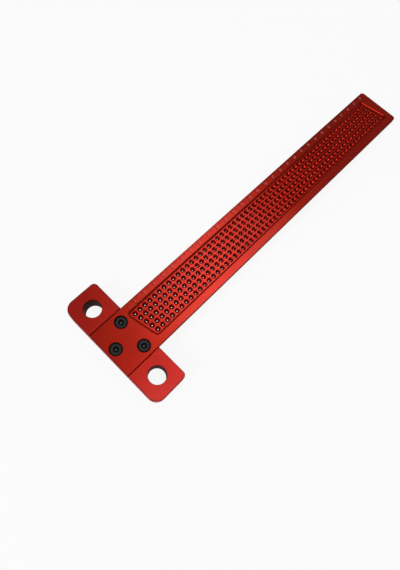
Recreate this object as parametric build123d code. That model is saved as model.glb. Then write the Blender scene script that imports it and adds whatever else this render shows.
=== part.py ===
"""Marking t-square: a flat blade with rows of pencil holes, let into the top of a fence and held by three screws.

Millimetres. X runs along the blade away from the fence, Y across it and Z up. The origin is the scale's zero:
the fence's inner face meets the blade's underside there, on the blade's centre line.
"""

from build123d import *
import os

# Blade
SCALE_LENGTH = 300.0
BLADE_END_MARGIN = 10.0  # from the scale's last mark to the far end
BLADE_REACH = SCALE_LENGTH + BLADE_END_MARGIN  # from the fence's inner face to the far end
BLADE_WIDTH = 40.0
BLADE_THICKNESS = 4.0
BLADE_END_RADIUS = 3.0
BLADE_EDGE_BREAK = 0.3

# Pencil holes: rows along the blade, each row one step further out than the row above it
HOLE_ROWS = 5
HOLE_PITCH = 5.0  # along a row
ROW_SPACING = 5.0
ROW_STEP = 1.0
FIRST_HOLE = 5.0
DIMPLE_DIAMETER = 4.0
PENCIL_HOLE_DIAMETER = 1.0
DIMPLE_ANGLE = 90.0

# Pocket that thins the blade around the holes
POCKET_DEPTH = 1.2
POCKET_SIDE_MARGIN = 4.0  # from the outer rows to the pocket's sides, at the blade's top
POCKET_WALL_ANGLE = 45.0  # the pocket's walls lean out by this much from upright
POCKET_END_MARGIN = 4.8  # from the first or last hole of a row to the pocket's end, along the row
POCKET_CORNER_RADIUS = 3.5

# Fence
FENCE_LENGTH = 97.0
FENCE_DEPTH = 30.0
FENCE_HEIGHT = 15.0
FENCE_OUTER_RADIUS = 8.0
FENCE_INNER_RADIUS = 3.5
FENCE_EDGE_BREAK = 0.5
SLOT_CLEARANCE = 0.05  # each side of the blade in the fence's slot

# Round holes through the fence's two ears
EAR_HOLE_DIAMETER = 13.5
EAR_HOLE_INSET = 14.8  # from the fence's inner face and from its end
EAR_HOLE_BREAK = 0.25

# Countersunk screws with a hexagon socket
SCREW_SIZE = 5.0
SCREW_LENGTH = 12.0
SCREW_HEAD_DIAMETER = 10.0
SCREW_HEAD_RIM = 0.3  # straight edge of the head above its cone
SCREW_HEAD_ANGLE = 90.0
SCREW_TIP_BREAK = 0.6
SOCKET_SIZE = 3.0  # across the flats
SOCKET_DEPTH = 2.0
SCREW_SINK = 0.15  # the head lies this far below the blade's top
SCREW_CLEARANCE = 0.05  # around the head and the shank
TAPPED_DEPTH = 9.5  # into the fence, below the blade
FRONT_SCREW_INSET = 7.0  # from the fence's inner face
FRONT_SCREW_MARGIN = 8.0  # from the blade's edge
REAR_SCREW_INSET = 23.0

SCREWS = {
    "screw_front_left": (-FRONT_SCREW_INSET, BLADE_WIDTH / 2 - FRONT_SCREW_MARGIN),
    "screw_front_right": (-FRONT_SCREW_INSET, FRONT_SCREW_MARGIN - BLADE_WIDTH / 2),
    "screw_rear": (-REAR_SCREW_INSET, 0.0),
}
HOLES_PER_ROW = int((SCALE_LENGTH - FIRST_HOLE) / HOLE_PITCH)
POCKET_WIDTH = ROW_SPACING * (HOLE_ROWS - 1) + 2 * POCKET_SIDE_MARGIN
POCKET_FLOOR = BLADE_THICKNESS - POCKET_DEPTH
OVERSHOOT = 1.0  # how far a cutter runs past the face it opens


def row_start(row):
    """Place of a row's first hole: X from the fence's inner face, Y from the blade's centre line."""
    return FIRST_HOLE + ROW_STEP * row, ROW_SPACING * ((HOLE_ROWS - 1) / 2 - row)


def cone_height(wide, narrow, angle):
    """Height of a cone between two diameters, for its full angle in degrees."""
    return (wide - narrow) / 2 / tan_half(angle)


def tan_half(angle):
    """Tangent of half an angle given in degrees."""
    half = Vector(1, 0).rotate(Axis.Z, angle / 2)
    return half.Y / half.X


def pocket_cutter():
    """Pocket with slanted ends that follow the first and the last hole of each row."""
    slant = ROW_STEP / ROW_SPACING
    half = POCKET_WIDTH / 2
    row_length = HOLE_PITCH * (HOLES_PER_ROW - 1)
    middle = FIRST_HOLE + ROW_STEP * (HOLE_ROWS - 1) / 2
    near = middle - POCKET_END_MARGIN
    far = middle + row_length + POCKET_END_MARGIN
    corners = [
        (near - slant * half, half),
        (near + slant * half, -half),
        (far + slant * half, -half),
        (far - slant * half, half),
    ]
    outline = make_face(Polyline(*corners, close=True))
    outline = fillet(outline.vertices(), POCKET_CORNER_RADIUS)
    walls = extrude(outline, -POCKET_DEPTH, taper=POCKET_WALL_ANGLE)
    return Pos(Z=BLADE_THICKNESS) * (walls + extrude(outline, OVERSHOOT))


def pencil_hole_cutter():
    """Conical dimple that guides the pencil's point, and the small hole below it."""
    depth = cone_height(DIMPLE_DIAMETER, PENCIL_HOLE_DIAMETER, DIMPLE_ANGLE)
    wide = DIMPLE_DIAMETER / 2
    narrow = PENCIL_HOLE_DIAMETER / 2
    profile = Polyline(
        (0, -OVERSHOOT),
        (narrow, -OVERSHOOT),
        (narrow, POCKET_FLOOR - depth),
        (wide, POCKET_FLOOR),
        (0, POCKET_FLOOR),
        close=True,
    )
    return revolve(Plane.XZ * make_face(profile), Axis.Z)


def screw_profile(grow, top):
    """Half section of a screw with its head's top at Z = 0, widened by grow and carried up to top."""
    head = SCREW_HEAD_DIAMETER / 2 + grow
    shank = SCREW_SIZE / 2 + grow
    cone = cone_height(SCREW_HEAD_DIAMETER, SCREW_SIZE, SCREW_HEAD_ANGLE)
    return [
        (0, top),
        (head, top),
        (head, -SCREW_HEAD_RIM),
        (shank, -SCREW_HEAD_RIM - cone),
    ]


def screw_seat_cutter():
    """Countersink and clearance hole in the blade for one screw."""
    points = screw_profile(SCREW_CLEARANCE, SCREW_SINK + OVERSHOOT)
    below = -BLADE_THICKNESS - OVERSHOOT
    shank = points[-1][0]
    profile = Polyline(*points, (shank, below), (0, below), close=True)
    return revolve(Plane.XZ * make_face(profile), Axis.Z)


def screw_place(name):
    """Place of a screw's head top."""
    x, y = SCREWS[name]
    return Pos(x, y, BLADE_THICKNESS - SCREW_SINK)


def blade():
    """Flat blade from the fence's outer face to the far end."""
    length = FENCE_DEPTH + BLADE_REACH
    body = Pos(BLADE_REACH, 0, 0) * Box(
        length, BLADE_WIDTH, BLADE_THICKNESS, align=(Align.MAX, Align.CENTER, Align.MIN)
    )
    far_edges = body.edges().filter_by(Axis.Z).group_by(Axis.X)[-1]
    body = fillet(far_edges, BLADE_END_RADIUS)
    rims = body.faces().sort_by(Axis.Z)[-1].edges() + body.faces().sort_by(Axis.Z)[0].edges()
    body = chamfer(rims, BLADE_EDGE_BREAK)
    cutters = [pocket_cutter()]
    hole = pencil_hole_cutter()
    for row in range(HOLE_ROWS):
        x, y = row_start(row)
        cutters += [Pos(x + HOLE_PITCH * i, y, 0) * hole for i in range(HOLES_PER_ROW)]
    cutters += [screw_place(name) * screw_seat_cutter() for name in SCREWS]
    return body - cutters


def fence():
    """Thick cross bar with a slot for the blade, a round hole in each ear and three tapped holes."""
    outline = Pos(-FENCE_DEPTH / 2, 0) * Rectangle(FENCE_DEPTH, FENCE_LENGTH)
    sides = outline.vertices().group_by(Axis.X)
    outline = fillet(sides[0], FENCE_OUTER_RADIUS)
    outline = fillet(outline.vertices().group_by(Axis.X)[-1], FENCE_INNER_RADIUS)
    bottom = BLADE_THICKNESS - FENCE_HEIGHT
    body = Pos(Z=bottom) * extrude(outline, FENCE_HEIGHT)
    faces = body.faces().sort_by(Axis.Z)
    body = chamfer(faces[-1].edges() + faces[0].edges(), FENCE_EDGE_BREAK)
    slot = Pos(-FENCE_DEPTH / 2, 0, 0) * Box(
        FENCE_DEPTH + 2 * OVERSHOOT,
        BLADE_WIDTH + 2 * SLOT_CLEARANCE,
        BLADE_THICKNESS + OVERSHOOT,
        align=(Align.CENTER, Align.CENTER, Align.MIN),
    )
    tapped = Cylinder(
        SCREW_SIZE / 2 + SCREW_CLEARANCE,
        TAPPED_DEPTH + OVERSHOOT,
        align=(Align.CENTER, Align.CENTER, Align.MIN),
    )
    cutters = [slot]
    cutters += [Pos(x, y, -TAPPED_DEPTH) * tapped for x, y in SCREWS.values()]
    cutters += [
        Pos(-EAR_HOLE_INSET, side * (FENCE_LENGTH / 2 - EAR_HOLE_INSET), bottom) * ear_hole_cutter()
        for side in (1, -1)
    ]
    return body - cutters


def ear_hole_cutter():
    """Through hole with both rims broken, from the fence's bottom up."""
    radius = EAR_HOLE_DIAMETER / 2
    rim = radius + EAR_HOLE_BREAK
    profile = Polyline(
        (0, -OVERSHOOT),
        (rim, -OVERSHOOT),
        (rim, 0),
        (radius, EAR_HOLE_BREAK),
        (radius, FENCE_HEIGHT - EAR_HOLE_BREAK),
        (rim, FENCE_HEIGHT),
        (rim, FENCE_HEIGHT + OVERSHOOT),
        (0, FENCE_HEIGHT + OVERSHOOT),
        close=True,
    )
    return revolve(Plane.XZ * make_face(profile), Axis.Z)


def screw():
    """Countersunk screw with its head's top at Z = 0."""
    points = screw_profile(0, 0)
    shank = points[-1][0]
    profile = Polyline(
        *points,
        (shank, SCREW_TIP_BREAK - SCREW_LENGTH),
        (shank - SCREW_TIP_BREAK, -SCREW_LENGTH),
        (0, -SCREW_LENGTH),
        close=True,
    )
    body = revolve(Plane.XZ * make_face(profile), Axis.Z)
    socket = RegularPolygon(SOCKET_SIZE / 2, 6, major_radius=False)
    return body - Pos(Z=-SOCKET_DEPTH) * extrude(socket, SOCKET_DEPTH + OVERSHOOT)


def main():
    os.makedirs("parts", exist_ok=True)
    parts = {"blade": blade(), "fence": fence()}
    for name in SCREWS:
        parts[name] = screw_place(name) * screw()
    for name, shape in parts.items():
        export_step(shape, f"parts/{name}.step")


main()
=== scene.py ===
"""Looks of the marking t-square: red anodised blade and fence, black screws, engraved scale. Metres."""

import math

import bmesh
import bpy
from mathutils import Matrix, Vector


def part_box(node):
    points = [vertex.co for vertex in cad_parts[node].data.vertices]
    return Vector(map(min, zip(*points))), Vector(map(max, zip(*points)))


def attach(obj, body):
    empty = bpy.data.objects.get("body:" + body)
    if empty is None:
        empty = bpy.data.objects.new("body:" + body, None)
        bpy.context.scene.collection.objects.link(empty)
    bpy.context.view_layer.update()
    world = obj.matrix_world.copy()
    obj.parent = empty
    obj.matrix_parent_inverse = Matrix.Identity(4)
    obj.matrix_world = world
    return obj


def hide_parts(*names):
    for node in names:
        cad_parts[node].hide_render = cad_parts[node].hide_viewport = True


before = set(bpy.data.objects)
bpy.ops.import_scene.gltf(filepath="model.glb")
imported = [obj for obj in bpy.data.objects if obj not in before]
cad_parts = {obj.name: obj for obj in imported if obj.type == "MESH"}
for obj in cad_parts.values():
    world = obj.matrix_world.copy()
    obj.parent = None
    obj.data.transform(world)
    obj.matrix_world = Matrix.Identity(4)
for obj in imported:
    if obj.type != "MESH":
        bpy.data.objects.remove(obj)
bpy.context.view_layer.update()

MM = 0.001

# Places read from the frame
BLADE_LOW, BLADE_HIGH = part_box("blade")
FENCE_LOW, FENCE_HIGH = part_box("fence")
TOP = BLADE_HIGH.z
SLOT_FLOOR = BLADE_LOW.z

# Scale
SCALE_MM = 300
TICK_START = 0.46 * MM  # in from the blade's edge
TICK_LENGTHS = {"long": 4.3 * MM, "middle": 2.3 * MM, "short": 1.3 * MM}
TICK_WIDTHS = {"long": 0.36 * MM, "middle": 0.3 * MM, "short": 0.16 * MM}
TICK_DEPTH = 0.07 * MM
FONT_SIZE = 2.94 * MM
NUMERAL_WEIGHT = 0.03 * MM  # widens each stroke
NUMERAL_SPACING = 0.95
NUMERAL_GAP = 0.45 * MM  # from a long tick to its numeral
NUMERAL_FOOT = 4.2 * MM  # from the blade's edge to the numeral's base line
NUMERAL_FILM = 0.012 * MM

# Blade
BLADE_END_RADIUS = 3.0 * MM
BLADE_ROUND = 0.42 * MM
HOLE_ROWS = 5
HOLE_PITCH = 5.0 * MM
ROW_SPACING = 5.0 * MM
ROW_STEP = 1.0 * MM  # each row starts this much further out than its neighbour on the scale's side
FIRST_HOLE = 5.0 * MM
HOLES_PER_ROW = round((SCALE_MM * MM - FIRST_HOLE) / HOLE_PITCH)

# Pocket around the holes, with walls at 45 degrees
POCKET_DEPTH = 1.2 * MM
POCKET_SIDE_MARGIN = 4.0 * MM  # from the outer rows to the pocket's sides
POCKET_HALF = ROW_SPACING * (HOLE_ROWS - 1) / 2 + POCKET_SIDE_MARGIN
POCKET_END_MARGIN = 4.8 * MM
POCKET_CORNER = 3.5 * MM
POCKET_LIP = 0.12 * MM
POCKET_LIP_DROP = 0.04 * MM
POCKET_FOOT = 0.25 * MM  # height of the band of painted shade at the wall's foot
POCKET_FOOT_BEND = 0.0875 * MM  # the wall bends this high above the floor
POCKET_FOOT_REACH = 0.125 * MM  # and meets it this far past a straight wall's foot
FLOOR = TOP - POCKET_DEPTH

# Dimples with cones of 90 degrees, and the pencil holes below them
DIMPLE_RADIUS = 2.0 * MM
DIMPLE_LIP = 0.09 * MM
DIMPLE_LIP_BEND = 0.027 * MM  # out from the dimple's radius and down from the floor
DIMPLE_LIP_FOOT = 0.036 * MM  # in from the dimple's radius
CONE_POINT = FLOOR - DIMPLE_RADIUS
PENCIL_RADIUS = 0.5 * MM
PENCIL_RIM = 0.06 * MM
PENCIL_RIM_TOP = 0.55 * MM  # heights above the cone's point
PENCIL_RIM_FOOT = 0.4 * MM

# Screws
SCREW_TURNS = {"screw_front_left": 12, "screw_front_right": 41, "screw_rear": 27}  # sockets, in degrees
SHANK_RADIUS = 2.5 * MM
TIP_BREAK = 0.6 * MM
HEAD_DEPTH = 2.8 * MM  # from the head's top to the end of its cone
HEAD_RADIUS = 5.0 * MM
HEAD_RIM_MM = [(4.96, 0.35), (5.0, 0.28), (5.0, 0.22), (4.9, 0.15), (4.1, 0.02), (4.0, 0)]  # radius, depth
RING_RADIUS = 2.1 * MM  # inner edge of the head's flat ring
SOCKET_FLAT = 1.5 * MM  # from the axis to a flat
SOCKET_FLARE = 1.12  # mouth of the socket over its walls
SOCKET_MOUTH = 0.1 * MM  # depths below the head's top
SOCKET_WALL_TOP = 0.35 * MM
SOCKET_WALL_FOOT = 1.6 * MM
DRILL_MARK = 1.86 * MM
SOCKET_DEPTH = 2.0 * MM
DRILL_MARK_SHARE = 0.42  # width of the drill mark over the socket's

# Countersinks in the blade and tapped holes in the fence
SCREW_CLEARANCE = 0.05 * MM
SEAT_RADIUS = HEAD_RADIUS + SCREW_CLEARANCE
BORE_RADIUS = SHANK_RADIUS + SCREW_CLEARANCE
SEAT_RIM = 0.45 * MM  # depth of the straight wall above the seat's cone
SEAT_LIP = 0.08 * MM
TAPPED_DEPTH = 9.5 * MM

# Fence
FENCE_OUTER_RADIUS = 8.0 * MM
FENCE_INNER_RADIUS = 3.5 * MM
FENCE_ROUND = 0.4 * MM
SLOT_CLEARANCE = 0.05 * MM  # each side of the blade
SLOT_HALF = BLADE_HIGH.y + SLOT_CLEARANCE
EAR_HOLE_RADIUS = 6.75 * MM
EAR_HOLE_INSET = 14.8 * MM  # from the fence's inner face and from its end
EAR_HOLE_ROUND = 0.25 * MM

# Fineness of the meshes, and which of their edges are sharp
ROUND_STEPS = 4
CORNER_STEPS = 10
POCKET_CORNER_STEPS = 12
DIMPLE_SIDES = 28
HOLE_SIDES = 96
MITRE_LIMIT = 0.3  # a corner moves in by at most the distance over this
CURVED_LIMIT = math.radians(32)  # a curved surface is sharp where it bends by more
FLAT_LIMIT = math.radians(0.5)  # a flat face is sharp where it meets another plane

# Material indices
EDGE = 1  # painted shade: near-black on broken edges, ear holes, countersinks, and the screws' sides and sockets
CONE = 2  # dimples and pencil holes, the pocket's wall and the blade's sides, in a darker red that is painted shade
TICK = 3  # engraved ticks, near black: painted shade in their grooves
SPOT = 2  # pale grey drill mark at the bottom of a screw's socket, a painted highlight
DARK = 1  # dark side of the backdrop

# Metal: tints of what it reflects at a grazing angle, and height of its finest grain. The dark tint adds to
# the painted shade on edges, grooves and cones.
PALE_RIM = (1.0, 0.5, 0.45)
DARK_RIM = (0.35, 0.1, 0.09)
GRAIN_HEIGHT = 0.02 * MM

# Camera at the photograph's viewpoint. The first three are in the photograph's pixels
FRAME_SIZE = (400, 570)
LENS_PIXELS = 391.6
LENS_CENTRE = (185.0, 300.0)  # where the lens axis meets the photograph
CAMERA_PLACE = Vector((-43.6, -54.5, 281.5)) * MM
CAMERA_LOOK = Vector((0.28062, 0.15713, -0.94687))
CAMERA_UP = Vector((0.65923, 0.68546, 0.30912))
SENSOR_MM = 36.0
CLIP_RANGE = (0.01, 10.0)

# Floor and backdrop: for each kind of ray, the share of plain white near the object and far from it
FLOOR_GREY = 0.86
FLOOR_GLOW = {
    "Is Camera Ray": (0.9, 1.0),
    "Is Transmission Ray": (0.9, 1.0),
    "Is Glossy Ray": (0.3, 0.8),
}
DARK_SIDE_GREY = 0.05
DARK_SIDE_GLOW = {
    "Is Camera Ray": (1.0, 1.0),
    "Is Transmission Ray": (1.0, 1.0),
    "Is Glossy Ray": (0.0, 0.1),
}
FADE_START = 0.4  # distances from the origin between which near turns into far
FADE_END = 1.7
FLOOR_CENTRE = (0.1, 0.0)
BACKDROP = [(2.0, 0.0), (2.4, 0.04), (2.75, 0.16), (3.0, 0.36), (3.15, 0.62), (3.2, 0.9)]  # radius, height
DARK_SIDE = (-0.5, -0.85)  # way from the object to the dark side, which darkens the object's edges
DARK_HALF_WIDTH = math.radians(80)

# Room: strength of its light up to one height of the view's direction and from another one on
ROOM_LOW = 0.75
ROOM_LOW_UNTIL = 0.3
ROOM_OVERHEAD = 0.19
ROOM_OVERHEAD_FROM = 0.6

# Lights: direction from the blade, distance and size in metres, and watts
LIGHT_TARGET = Vector((0.08, 0, 0))
LIGHTS = {
    "key": ((0.37, 0.16, 0.91), 1.0, (0.35, 0.45), 1.0),
    "key_near": ((0.28, 0.12, 0.95), 1.0, (0.3, 0.3), 0.24),
    "key_far": ((0.45, -0.05, 0.9), 1.0, (0.3, 0.3), 0.16),
    "overhead": ((-0.05, -0.17, 0.98), 1.2, (0.4, 0.4), 1.9),
    "window": ((-0.76, 0.12, 0.62), 1.4, (0.5, 0.5), 8.0),
}


# Outlines

def circle(centre, radius, sides):
    """Points on a whole circle, anticlockwise."""
    points = []
    for i in range(sides):
        angle = math.radians(360 * i / sides)
        points.append((centre[0] + radius * math.cos(angle), centre[1] + radius * math.sin(angle)))
    return points


def rounded_polygon(corners, radii, steps=CORNER_STEPS):
    """Anticlockwise polygon whose corners are arcs. A radius of zero leaves a corner sharp."""
    points = []
    count = len(corners)
    for i, (corner, radius) in enumerate(zip(corners, radii)):
        corner = Vector(corner)
        if radius <= 0:
            points.append(tuple(corner))
            continue
        back = (Vector(corners[i - 1]) - corner).normalized()
        ahead = (Vector(corners[(i + 1) % count]) - corner).normalized()
        half = back.angle(ahead) / 2
        centre = corner + (back + ahead).normalized() * (radius / math.sin(half))
        start = corner + back * (radius / math.tan(half)) - centre
        turn = math.pi - 2 * half
        for k in range(steps + 1):
            angle = turn * k / steps
            turned = Vector((
                start.x * math.cos(angle) - start.y * math.sin(angle),
                start.x * math.sin(angle) + start.y * math.cos(angle),
            ))
            points.append(tuple(centre + turned))
    return points


def inset(points, distance):
    """A closed anticlockwise outline moved inwards by a distance, point by point."""
    moved = []
    count = len(points)
    for i in range(count):
        here = Vector(points[i])
        before = (here - Vector(points[i - 1])).normalized()
        after = (Vector(points[(i + 1) % count]) - here).normalized()
        normal = Vector((-before.y - after.y, before.x + after.x))
        normal.normalize()
        reach = max(MITRE_LIMIT, normal.dot(Vector((-before.y, before.x))))
        moved.append(tuple(here + normal * (distance / reach)))
    return moved


def rounding(radius):
    """Inset and drop of each step of a rounded edge, from the flat face down to the side."""
    pairs = []
    for i in range(ROUND_STEPS + 1):
        angle = math.pi / 2 * i / ROUND_STEPS
        pairs.append((radius * (1 - math.sin(angle)), radius * (1 - math.cos(angle))))
    return pairs


# Meshes: the solid pieces are made from closed loops of vertices

def add_loop(mesh, points, z):
    return [mesh.verts.new((x, y, z)) for x, y in points]


def add_rings(mesh, centre, profile, sides):
    """One round loop for each radius and height of a profile."""
    return [add_loop(mesh, circle(centre, radius, sides), z) for radius, z in profile]


def bridge(mesh, first, second, material=0):
    """Quads between two anticlockwise loops. They face out if the second is higher, or else in."""
    count = len(first)
    for i in range(count):
        k = (i + 1) % count
        face = mesh.faces.new((first[i], first[k], second[k], second[i]))
        face.material_index = material
        face.smooth = True


def bridge_all(mesh, loops, material=0):
    for first, second in zip(loops, loops[1:]):
        bridge(mesh, first, second, material)


def fill(mesh, loops, up):
    """Flat face between an outer loop and the holes in it, facing up or down."""
    edges = []
    for loop in loops:
        for i, vertex in enumerate(loop):
            other = loop[(i + 1) % len(loop)]
            edges.append(mesh.edges.get((vertex, other)) or mesh.edges.new((vertex, other)))
    made = bmesh.ops.triangle_fill(mesh, use_beauty=True, use_dissolve=False, edges=edges)
    for item in made["geom"]:
        if isinstance(item, bmesh.types.BMFace):
            item.normal_update()
            if (item.normal.z > 0) != up:
                item.normal_flip()
            item.smooth = False


def finish_mesh(mesh, name, materials):
    """Makes an object of a bmesh and marks the edges that stay sharp."""
    mesh.normal_update()
    for edge in mesh.edges:
        if len(edge.link_faces) == 2:
            curved = all(face.smooth for face in edge.link_faces)
            edge.smooth = edge.calc_face_angle(0.0) < (CURVED_LIMIT if curved else FLAT_LIMIT)
    for face in mesh.faces:
        face.smooth = True
    data = bpy.data.meshes.new(name)
    mesh.to_mesh(data)
    mesh.free()
    for material in materials:
        data.materials.append(material)
    piece = bpy.data.objects.new(name, data)
    bpy.context.scene.collection.objects.link(piece)
    return piece


# Material helpers

def new_material(name):
    material = bpy.data.materials.new(name)
    material.use_nodes = True
    tree = material.node_tree
    return material, tree, tree.nodes["Principled BSDF"]


def add_node(tree, kind, **values):
    node = tree.nodes.new(kind)
    for key, value in values.items():
        setattr(node, key, value)
    return node


def object_place(tree):
    """Coordinates on the piece, in metres."""
    return add_node(tree, "ShaderNodeTexCoord").outputs["Object"]


def noise(tree, place, scale, detail=2.0):
    """Noise with this many features per metre."""
    node = add_node(tree, "ShaderNodeTexNoise")
    node.inputs["Scale"].default_value = scale
    node.inputs["Detail"].default_value = detail
    tree.links.new(place, node.inputs["Vector"])
    return node.outputs["Fac"]


def colour_by(tree, shader, factor, low, high):
    """Base colour that goes from one colour to another. low and high are (place on the factor, colour)."""
    node = add_node(tree, "ShaderNodeValToRGB")
    for element, (place, colour) in zip(node.color_ramp.elements, (low, high)):
        element.position = place
        element.color = (*colour, 1)
    tree.links.new(factor, node.inputs["Fac"])
    tree.links.new(node.outputs["Color"], shader.inputs["Base Color"])


def map_range(tree, factor, low, high, start=0.0, end=1.0):
    """A factor between start and end, as a value between low and high."""
    node = add_node(tree, "ShaderNodeMapRange")
    node.inputs["From Min"].default_value = start
    node.inputs["From Max"].default_value = end
    node.inputs["To Min"].default_value = low
    node.inputs["To Max"].default_value = high
    tree.links.new(factor, node.inputs["Value"])
    return node.outputs["Result"]


def combine(tree, operation, first, second):
    """One value from two, such as their product or the larger one."""
    node = add_node(tree, "ShaderNodeMath", operation=operation)
    tree.links.new(first, node.inputs[0])
    tree.links.new(second, node.inputs[1])
    return node.outputs["Value"]


def roughness_by(tree, shader, factor, low, high):
    tree.links.new(map_range(tree, factor, low, high), shader.inputs["Roughness"])


def bump_by(tree, shader, height, strength):
    """Fine grain in the surface, from a height factor."""
    node = add_node(tree, "ShaderNodeBump")
    node.inputs["Strength"].default_value = strength
    node.inputs["Distance"].default_value = GRAIN_HEIGHT
    tree.links.new(height, node.inputs["Height"])
    tree.links.new(node.outputs["Normal"], shader.inputs["Normal"])


# Materials

def anodised(name, dark, light, rough_low, rough_high, coat=0.3, rim=PALE_RIM):
    """Bead-blasted anodised aluminium: fine grain in the bump and gloss, slight clouds in the colour."""
    material, tree, shader = new_material(name)
    place = object_place(tree)
    clouds = noise(tree, place, 45, detail=3.0)
    colour_by(tree, shader, clouds, (0.3, dark), (0.7, light))
    shader.inputs["Metallic"].default_value = 0.97
    shader.inputs["Specular Tint"].default_value = (*rim, 1)
    shader.inputs["Coat Weight"].default_value = coat
    shader.inputs["Coat Roughness"].default_value = 0.22
    grain = noise(tree, place, 5200)
    roughness_by(tree, shader, grain, rough_low, rough_high)
    bump_by(tree, shader, grain, 0.12)
    return material


def broken_edge(name, dark, light):
    """Anodised aluminium on rounded edges and in grooves, which reflects little of the pale room. Its dark
    colour is painted shade.
    """
    material = anodised(name, dark, light, 0.42, 0.52, coat=0.0, rim=DARK_RIM)
    shader = material.node_tree.nodes["Principled BSDF"]
    shader.inputs["Metallic"].default_value = 0.4
    shader.inputs["Specular IOR Level"].default_value = 0.15
    return material


def black_oxide(name, dark, light, rough, metallic):
    """Black-oxide steel with a trace of brown, in patches that differ in shade and gloss."""
    material, tree, shader = new_material(name)
    place = object_place(tree)
    patches = noise(tree, place, 900, detail=4.0)
    colour_by(tree, shader, patches, (0.35, dark), (0.72, light))
    shader.inputs["Metallic"].default_value = metallic
    roughness_by(tree, shader, patches, rough - 0.08, rough + 0.1)
    bump_by(tree, shader, noise(tree, place, 6000), 0.15)
    return material


def laser_mark(name, dark, light):
    """Bleached strokes where a laser has burnt the dye out of the anodising, slightly speckled."""
    material, tree, shader = new_material(name)
    speckle = noise(tree, object_place(tree), 9000)
    colour_by(tree, shader, speckle, (0.3, dark), (0.7, light))
    shader.inputs["Metallic"].default_value = 0.3
    shader.inputs["Roughness"].default_value = 0.55
    return material


def blade_materials():
    """In the order of the material indices: plain faces, EDGE, CONE and TICK."""
    return [
        anodised("red_anodised", (0.45, 0.013, 0.003), (0.49, 0.017, 0.004), 0.3, 0.38),
        # Near-black red on the blade's rounded edges, the pocket's lip and foot and the countersinks is
        # painted shade
        broken_edge("red_edge_painted_shade", (0.06, 0.002, 0.001), (0.075, 0.003, 0.002)),
        # Darker, glossier red in the dimples, on the pocket's wall and on the blade's sides: the darker
        # colour is painted shade
        anodised("red_cone_painted_shade", (0.29, 0.007, 0.002), (0.33, 0.009, 0.003), 0.2, 0.26, coat=0.1, rim=DARK_RIM),
        # Near-black in the tick grooves is painted shade
        broken_edge("tick_painted_shade", (0.03, 0.003, 0.002), (0.045, 0.005, 0.003)),
    ]


def fence_materials():
    """In the order of the material indices: plain faces and EDGE."""
    return [
        anodised("fence_anodised", (0.48, 0.016, 0.009), (0.52, 0.02, 0.011), 0.36, 0.44),
        # Near-black red on the fence's rounded edges and ear holes is painted shade
        broken_edge("fence_edge_painted_shade", (0.07, 0.003, 0.002), (0.085, 0.004, 0.003)),
    ]


def screw_materials():
    """In the order of the material indices: plain faces, EDGE and SPOT."""
    return [
        black_oxide("black_oxide", (0.012, 0.0115, 0.011), (0.022, 0.021, 0.019), 0.42, 0.6),
        # Near-black on the screws' rims, sides and socket walls is painted shade
        black_oxide("black_rim_painted_shade", (0.004, 0.004, 0.004), (0.007, 0.0065, 0.006), 0.5, 0.9),
        # Pale grey on the socket's drill mark is a painted highlight
        black_oxide("steel_spot_painted_highlight", (0.1, 0.1, 0.098), (0.16, 0.16, 0.155), 0.4, 0.7),
    ]


# Blade

def screw_centres():
    """Each screw's node with the place of its axis."""
    for node in SCREW_TURNS:
        low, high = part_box(node)
        yield node, (low.x + high.x) / 2, (low.y + high.y) / 2


def hole_centres():
    for row in range(HOLE_ROWS):
        y = ROW_SPACING * ((HOLE_ROWS - 1) / 2 - row)
        for i in range(HOLES_PER_ROW):
            yield FIRST_HOLE + ROW_STEP * row + HOLE_PITCH * i, y


def pocket_outline():
    """Pocket's outline at the blade's top, anticlockwise, with slanted ends."""
    slant = ROW_STEP / ROW_SPACING
    middle = FIRST_HOLE + ROW_STEP * (HOLE_ROWS - 1) / 2
    near = middle - POCKET_END_MARGIN
    far = middle + HOLE_PITCH * (HOLES_PER_ROW - 1) + POCKET_END_MARGIN
    corners = [
        (near - slant * POCKET_HALF, POCKET_HALF),
        (near + slant * POCKET_HALF, -POCKET_HALF),
        (far + slant * POCKET_HALF, -POCKET_HALF),
        (far - slant * POCKET_HALF, POCKET_HALF),
    ]
    return rounded_polygon(corners, [POCKET_CORNER] * 4, POCKET_CORNER_STEPS)


def add_pocket_wall(mesh):
    """Sloping wall with a broken lip and a rounded foot. Returns its first and last loops."""
    outline = pocket_outline()
    profile = [
        (-POCKET_LIP, TOP),
        (0, TOP - POCKET_LIP_DROP),
        (POCKET_DEPTH - POCKET_FOOT, FLOOR + POCKET_FOOT),
        (POCKET_DEPTH - POCKET_FOOT_BEND, FLOOR + POCKET_FOOT_BEND),
        (POCKET_DEPTH + POCKET_FOOT_REACH, FLOOR),
    ]
    loops = [add_loop(mesh, inset(outline, inward), z) for inward, z in profile]
    bridge_all(mesh, loops[:2], EDGE)
    bridge_all(mesh, loops[1:3], CONE)
    bridge_all(mesh, loops[2:], EDGE)
    return loops[0], loops[-1]


def add_pencil_hole(mesh, centre):
    """Dimple with a broken lip, and the small hole below it. Returns its first and last loops."""
    profile = [
        (DIMPLE_RADIUS + DIMPLE_LIP, FLOOR),
        (DIMPLE_RADIUS + DIMPLE_LIP_BEND, FLOOR - DIMPLE_LIP_BEND),
        (DIMPLE_RADIUS - DIMPLE_LIP_FOOT, FLOOR - DIMPLE_LIP),
        (PENCIL_RADIUS + PENCIL_RIM, CONE_POINT + PENCIL_RIM_TOP),
        (PENCIL_RADIUS, CONE_POINT + PENCIL_RIM_FOOT),
        (PENCIL_RADIUS, BLADE_LOW.z),
    ]
    rings = add_rings(mesh, centre, profile, DIMPLE_SIDES)
    bridge_all(mesh, rings, CONE)
    return rings[0], rings[-1]


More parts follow.
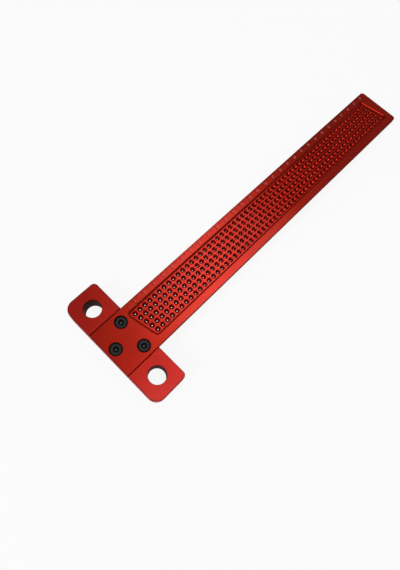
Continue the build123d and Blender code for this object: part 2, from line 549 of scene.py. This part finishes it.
def add_screw_seat(mesh, centre):
    """Countersink and clearance hole. Returns its first and last loops."""
    profile = [
        (SEAT_RADIUS + SEAT_LIP, TOP),
        (SEAT_RADIUS, TOP - SEAT_LIP),
        (SEAT_RADIUS, TOP - SEAT_RIM),
        (BORE_RADIUS, TOP - SEAT_RIM - (SEAT_RADIUS - BORE_RADIUS)),
        (BORE_RADIUS, BLADE_LOW.z),
    ]
    rings = add_rings(mesh, centre, profile, HOLE_SIDES)
    bridge_all(mesh, rings, EDGE)
    return rings[0], rings[-1]


def tick_kind(mark):
    """Long at each centimetre, middle at each half of one and short at the other millimetres."""
    if mark % 10 == 0:
        return "long"
    return "middle" if mark % 5 == 0 else "short"


def add_tick(mesh, mark):
    """V-shaped groove in the blade's top. Returns the loop of its rim."""
    kind = tick_kind(mark)
    half = TICK_WIDTHS[kind] / 2
    x = mark * MM
    outer = BLADE_HIGH.y - TICK_START
    inner = outer - TICK_LENGTHS[kind]
    rim = add_loop(mesh, [(x - half, inner), (x + half, inner), (x + half, outer), (x - half, outer)], TOP)
    bottom_in, bottom_out = add_loop(mesh, [(x, inner + half), (x, outer - half)], TOP - TICK_DEPTH)
    for corners in (
        (rim[0], rim[1], bottom_in),
        (rim[1], rim[2], bottom_out, bottom_in),
        (rim[2], rim[3], bottom_out),
        (rim[3], rim[0], bottom_in, bottom_out),
    ):
        mesh.faces.new(corners).material_index = TICK
    return rim


def make_blade(materials):
    """Blade with rounded edges, a sloped pocket, dimpled pencil holes, countersinks and engraved ticks."""
    mesh = bmesh.new()
    low, high = BLADE_LOW, BLADE_HIGH
    corners = [(low.x, low.y), (high.x, low.y), (high.x, high.y), (low.x, high.y)]
    outline = rounded_polygon(corners, [0, BLADE_END_RADIUS, BLADE_END_RADIUS, 0])
    steps = rounding(BLADE_ROUND)
    under = [add_loop(mesh, inset(outline, inward), low.z + rise) for inward, rise in steps]
    over = [add_loop(mesh, inset(outline, inward), high.z - drop) for inward, drop in reversed(steps)]
    bridge_all(mesh, under, EDGE)
    bridge(mesh, under[-1], over[0], CONE)
    bridge_all(mesh, over, EDGE)

    lip, foot = add_pocket_wall(mesh)
    top = [over[-1], lip]
    floor = [foot]
    bottom = [under[0]]
    for centre in hole_centres():
        first, last = add_pencil_hole(mesh, centre)
        floor.append(first)
        bottom.append(last)
    for _, x, y in screw_centres():
        first, last = add_screw_seat(mesh, (x, y))
        top.append(first)
        bottom.append(last)
    top += [add_tick(mesh, mark) for mark in range(1, SCALE_MM + 1)]

    fill(mesh, top, up=True)
    fill(mesh, floor, up=True)
    fill(mesh, bottom, up=False)
    return finish_mesh(mesh, "blade_body", materials)


def numeral_text(number):
    """One numeral as a text object beside its tick."""
    curve = bpy.data.curves.new("numeral", "FONT")
    curve.body = str(number)
    curve.size = FONT_SIZE
    curve.extrude = NUMERAL_FILM / 2
    curve.offset = NUMERAL_WEIGHT
    curve.space_character = NUMERAL_SPACING
    text = bpy.data.objects.new("numeral", curve)
    bpy.context.scene.collection.objects.link(text)
    text.location = (
        number * 10 * MM + NUMERAL_GAP,
        BLADE_HIGH.y - NUMERAL_FOOT,
        TOP + NUMERAL_FILM / 2,
    )
    return text


def make_numerals(materials):
    """Centimetre numerals beside the long ticks, as one thin film on the blade's top."""
    texts = [numeral_text(number) for number in range(1, SCALE_MM // 10 + 1)]
    bpy.context.view_layer.update()
    graph = bpy.context.evaluated_depsgraph_get()
    mesh = bmesh.new()
    for text in texts:
        data = bpy.data.meshes.new_from_object(text.evaluated_get(graph))
        data.transform(text.matrix_world)
        mesh.from_mesh(data)
        bpy.data.meshes.remove(data)
        bpy.data.objects.remove(text)
    return finish_mesh(mesh, "scale_numerals", materials)


# Fence

def ear_outline(side):
    """One ear beside the blade's slot, anticlockwise. side is 1 for the scale's edge or else -1."""
    low, high = FENCE_LOW, FENCE_HIGH
    if side > 0:
        corners = [(low.x, SLOT_HALF), (high.x, SLOT_HALF), (high.x, high.y), (low.x, high.y)]
        return rounded_polygon(corners, [0, 0, FENCE_INNER_RADIUS, FENCE_OUTER_RADIUS])
    corners = [(low.x, low.y), (high.x, low.y), (high.x, -SLOT_HALF), (low.x, -SLOT_HALF)]
    return rounded_polygon(corners, [FENCE_OUTER_RADIUS, FENCE_INNER_RADIUS, 0, 0])


def add_ear_hole(mesh, side):
    """Through hole with both rims rounded. Returns its first and last loops."""
    centre = (FENCE_HIGH.x - EAR_HOLE_INSET, side * (FENCE_HIGH.y - EAR_HOLE_INSET))
    steps = rounding(EAR_HOLE_ROUND)
    profile = [(EAR_HOLE_RADIUS + wider, FENCE_HIGH.z - drop) for wider, drop in steps]
    profile += [(EAR_HOLE_RADIUS + wider, FENCE_LOW.z + rise) for wider, rise in reversed(steps)]
    rings = add_rings(mesh, centre, profile, HOLE_SIDES)
    bridge_all(mesh, rings, EDGE)
    return rings[0], rings[-1]


def add_tapped_hole(mesh, centre):
    """Blind hole in the slot's floor. Returns its first loop."""
    profile = [(BORE_RADIUS, SLOT_FLOOR), (BORE_RADIUS, SLOT_FLOOR - TAPPED_DEPTH)]
    rings = add_rings(mesh, centre, profile, HOLE_SIDES // 2)
    bridge_all(mesh, rings)
    fill(mesh, [rings[1]], up=True)
    return rings[0]


def make_fence(materials):
    """Fence: a full bar up to the slot's floor, and two ears that rise beside the slot."""
    mesh = bmesh.new()
    steps = rounding(FENCE_ROUND)
    ears = {side: ear_outline(side) for side in (1, -1)}
    full = ears[-1][:-1] + ears[1][1:] + [ears[1][0], ears[-1][-1]]
    lower = [add_loop(mesh, inset(full, inward), FENCE_LOW.z + rise) for inward, rise in steps]
    rim = add_loop(mesh, full, SLOT_FLOOR)
    bridge_all(mesh, lower, EDGE)
    bridge(mesh, lower[-1], rim)

    # The rim goes around the ear at -Y, crosses the slot, goes around the ear at +Y and crosses back
    split = len(ears[-1]) - 1
    bases = {1: rim[-2:-1] + rim[split:-2], -1: rim[:split] + rim[-1:]}
    seat = [[rim[-1], rim[split - 1], rim[split], rim[-2]]]
    bottom = [lower[0]]
    tops = {}
    for side, base in bases.items():
        rings = [
            add_loop(mesh, inset(ears[side], inward), FENCE_HIGH.z - drop)
            for inward, drop in reversed(steps)
        ]
        bridge(mesh, base, rings[0])
        bridge_all(mesh, rings, EDGE)
        tops[side] = [rings[-1]]
    for side in bases:
        first, last = add_ear_hole(mesh, side)
        tops[side].append(first)
        bottom.append(last)
    for _, x, y in screw_centres():
        seat.append(add_tapped_hole(mesh, (x, y)))

    for loops in tops.values():
        fill(mesh, loops, up=True)
    fill(mesh, seat, up=True)
    fill(mesh, bottom, up=False)
    return finish_mesh(mesh, "fence_body", materials)


# Screws

def hexagon_points():
    """Socket's outline with as many points as the round loops have."""
    apex = SOCKET_FLAT / math.cos(math.pi / 6)
    corners = [Vector(point) for point in circle((0, 0), apex, 6)]
    per_side = HOLE_SIDES // 6
    points = []
    for k, corner in enumerate(corners):
        following = corners[(k + 1) % 6]
        points += [tuple(corner.lerp(following, j / per_side)) for j in range(per_side)]
    return points


def add_socket(mesh, ring):
    """Hexagon socket with a flared mouth and a drill mark at its bottom, inside the head's flat ring."""
    profile = [
        (SOCKET_FLARE, -SOCKET_MOUTH),
        (1, -SOCKET_WALL_TOP),
        (1, -SOCKET_WALL_FOOT),
        (DRILL_MARK_SHARE, -DRILL_MARK),
    ]
    loops = [ring]
    for share, z in profile:
        loops.append(add_loop(mesh, [(x * share, y * share) for x, y in hexagon_points()], z))
    bridge_all(mesh, loops, EDGE)
    # The drill mark gets SPOT, pale grey that is a painted highlight
    tip = mesh.verts.new((0, 0, -SOCKET_DEPTH))
    mark = loops[-1]
    for i, vertex in enumerate(mark):
        mesh.faces.new((vertex, mark[(i + 1) % len(mark)], tip)).material_index = SPOT


def make_screw(node, x, y, materials):
    """Countersunk screw whose head has a rounded rim, a flat ring and a hexagon socket."""
    mesh = bmesh.new()
    low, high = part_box(node)
    length = high.z - low.z
    profile = [
        (SHANK_RADIUS - TIP_BREAK, -length),
        (SHANK_RADIUS, TIP_BREAK - length),
        (SHANK_RADIUS, -HEAD_DEPTH),
        *[(radius * MM, -depth * MM) for radius, depth in HEAD_RIM_MM],
        (RING_RADIUS, 0),
    ]
    rings = add_rings(mesh, (0, 0), profile, HOLE_SIDES)
    bridge_all(mesh, rings[:-1], EDGE)
    bridge(mesh, rings[-2], rings[-1])
    fill(mesh, [rings[0]], up=False)
    add_socket(mesh, rings[-1])
    turn = Matrix.Rotation(math.radians(SCREW_TURNS[node]), 4, "Z")
    mesh.transform(Matrix.Translation((x, y, high.z)) @ turn)
    return finish_mesh(mesh, node + "_detail", materials)


# Stage

def make_camera():
    data = bpy.data.cameras.new("camera")
    camera = bpy.data.objects.new("camera", data)
    bpy.context.scene.collection.objects.link(camera)
    long_side = max(FRAME_SIZE)
    data.sensor_width = SENSOR_MM
    data.lens = LENS_PIXELS * SENSOR_MM / long_side
    data.shift_x = (FRAME_SIZE[0] / 2 - LENS_CENTRE[0]) / long_side
    data.shift_y = (LENS_CENTRE[1] - FRAME_SIZE[1] / 2) / long_side
    data.clip_start, data.clip_end = CLIP_RANGE
    back = -CAMERA_LOOK.normalized()
    up = (CAMERA_UP - back * CAMERA_UP.dot(back)).normalized()
    right = up.cross(back)
    turn = Matrix((right, up, back)).transposed().to_4x4()
    camera.matrix_world = Matrix.Translation(CAMERA_PLACE) @ turn
    bpy.context.scene.camera = camera


def white_seen(name, grey, shares):
    """Grey surface that keeps the object's shadow and glows white for the kinds of ray in shares."""
    material, tree, shader = new_material(name)
    shader.inputs["Base Color"].default_value = (grey, grey, grey, 1)
    shader.inputs["Roughness"].default_value = 0.9
    distance = add_node(tree, "ShaderNodeVectorMath", operation="LENGTH")
    tree.links.new(object_place(tree), distance.inputs[0])
    path = add_node(tree, "ShaderNodeLightPath")
    parts = []
    for kind, (near, far) in shares.items():
        share = map_range(tree, distance.outputs["Value"], near, far, FADE_START, FADE_END)
        parts.append(combine(tree, "MULTIPLY", share, path.outputs[kind]))
    seen = parts[0]
    for part in parts[1:]:
        seen = combine(tree, "MAXIMUM", seen, part)
    glow = add_node(tree, "ShaderNodeEmission")
    mix = add_node(tree, "ShaderNodeMixShader")
    tree.links.new(seen, mix.inputs["Fac"])
    tree.links.new(shader.outputs["BSDF"], mix.inputs[1])
    tree.links.new(glow.outputs["Emission"], mix.inputs[2])
    tree.links.new(mix.outputs["Shader"], tree.nodes["Material Output"].inputs["Surface"])
    return material


def make_floor():
    """Floor that curves up into a low backdrop all around."""
    mesh = bmesh.new()
    profile = [(radius, FENCE_LOW.z + height) for radius, height in BACKDROP]
    loops = add_rings(mesh, FLOOR_CENTRE, profile, HOLE_SIDES)
    fill(mesh, [loops[0]], up=True)
    bridge_all(mesh, loops)
    for face in mesh.faces:
        centre = face.calc_center_median()
        away = Vector((centre.x, centre.y)).angle(Vector(DARK_SIDE), 0.0)
        if centre.z > FENCE_LOW.z + MM and away < DARK_HALF_WIDTH:
            face.material_index = DARK
    materials = [
        white_seen("floor_white", FLOOR_GREY, FLOOR_GLOW),
        white_seen("backdrop_dark_side", DARK_SIDE_GREY, DARK_SIDE_GLOW),
    ]
    finish_mesh(mesh, "floor", materials)


def add_light(name, direction, distance, size, watts):
    """Soft light with a rectangular face that shines on the blade from a direction."""
    data = bpy.data.lights.new(name, "AREA")
    data.shape = "RECTANGLE"
    data.size, data.size_y = size
    data.energy = watts
    light = bpy.data.objects.new(name, data)
    bpy.context.scene.collection.objects.link(light)
    place = LIGHT_TARGET + Vector(direction).normalized() * distance
    light.location = place
    light.rotation_mode = "QUATERNION"
    light.rotation_quaternion = (place - LIGHT_TARGET).to_track_quat("Z", "Y")


def make_world():
    """Room that is brighter towards the horizon than overhead, and plain white where the camera sees it."""
    world = bpy.data.worlds.new("world")
    bpy.context.scene.world = world
    world.use_nodes = True
    tree = world.node_tree
    room = tree.nodes["Background"]
    room.inputs["Color"].default_value = (1, 1, 1, 1)
    parts = add_node(tree, "ShaderNodeSeparateXYZ")
    tree.links.new(add_node(tree, "ShaderNodeTexCoord").outputs["Generated"], parts.inputs["Vector"])
    height = parts.outputs["Z"]
    strength = map_range(tree, height, ROOM_LOW, ROOM_OVERHEAD, ROOM_LOW_UNTIL, ROOM_OVERHEAD_FROM)
    tree.links.new(strength, room.inputs["Strength"])
    white = add_node(tree, "ShaderNodeBackground")
    white.inputs["Color"].default_value = (1, 1, 1, 1)
    path = add_node(tree, "ShaderNodeLightPath")
    seen = combine(tree, "MAXIMUM", path.outputs["Is Camera Ray"], path.outputs["Is Transmission Ray"])
    mix = add_node(tree, "ShaderNodeMixShader")
    tree.links.new(seen, mix.inputs["Fac"])
    tree.links.new(room.outputs["Background"], mix.inputs[1])
    tree.links.new(white.outputs["Background"], mix.inputs[2])
    tree.links.new(mix.outputs["Shader"], tree.nodes["World Output"].inputs["Surface"])


def main():
    bpy.context.scene.view_settings.view_transform = "Standard"
    make_camera()

    blade = make_blade(blade_materials())
    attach(blade, "root")
    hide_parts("blade")

    fence = make_fence(fence_materials())
    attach(fence, "root")
    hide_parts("fence")

    black_steel = screw_materials()
    for node, x, y in screw_centres():
        piece = make_screw(node, x, y, black_steel)
        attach(piece, "root")
        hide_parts(node)

    numerals = make_numerals([laser_mark("laser_mark", (0.5, 0.11, 0.085), (0.62, 0.2, 0.165))])
    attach(numerals, "root")

    make_floor()
    make_world()
    for name, values in LIGHTS.items():
        add_light(name, *values)


main()
